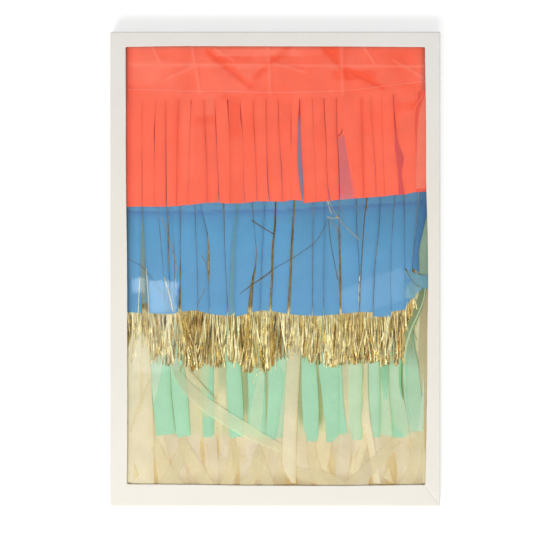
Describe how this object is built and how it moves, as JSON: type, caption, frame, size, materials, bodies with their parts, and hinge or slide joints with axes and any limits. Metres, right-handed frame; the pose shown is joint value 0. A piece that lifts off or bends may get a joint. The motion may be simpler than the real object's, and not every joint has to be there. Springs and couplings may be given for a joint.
{
  "type": "fringe garland",
  "caption": "Layered tissue and foil fringe garland, folded to and fro inside a flat white card box with a clear film window.",
  "frame": {"origin": "middle of the box's underside, as it lies on its back with the window up", "axes": "+X across the box, towards the garland's free end; +Y up the box, from the loose fringe ends to the header; +Z out of the window"},
  "size_m": [0.24, 0.345, 0.02],
  "materials": {
    "white_card": "matte",
    "clear_film": "gloss",
    "coral_tissue": "matte",
    "blue_tissue": "matte",
    "gold_foil": "polished",
    "mint_tissue": "matte",
    "cream_tissue": "matte",
    "white_tape": "matte",
    "coral_thread": "matte"
  },
  "bodies": {
    "tray": {"base_tray": "white_card"},
    "garland": {"coral_fringe": "coral_tissue", "blue_fringe": "blue_tissue", "gold_foil_fringe": "gold_foil", "mint_fringe": "mint_tissue", "cream_fringe": "cream_tissue", "hanging_tape": "white_tape", "stitch_thread": "coral_thread"},
    "lid": {"lid_frame": "white_card", "window_film": "clear_film"}
  },
  "joints": [
    {"name": "garland_lift", "type": "slide", "parent": "tray", "child": "garland", "axis": [0, 0, 1], "range_m": [0, 0.06]},
    {"name": "lid_lift", "type": "slide", "parent": "garland", "child": "lid", "axis": [0, 0, 1], "range_m": [0, 0.06]}
  ]
}
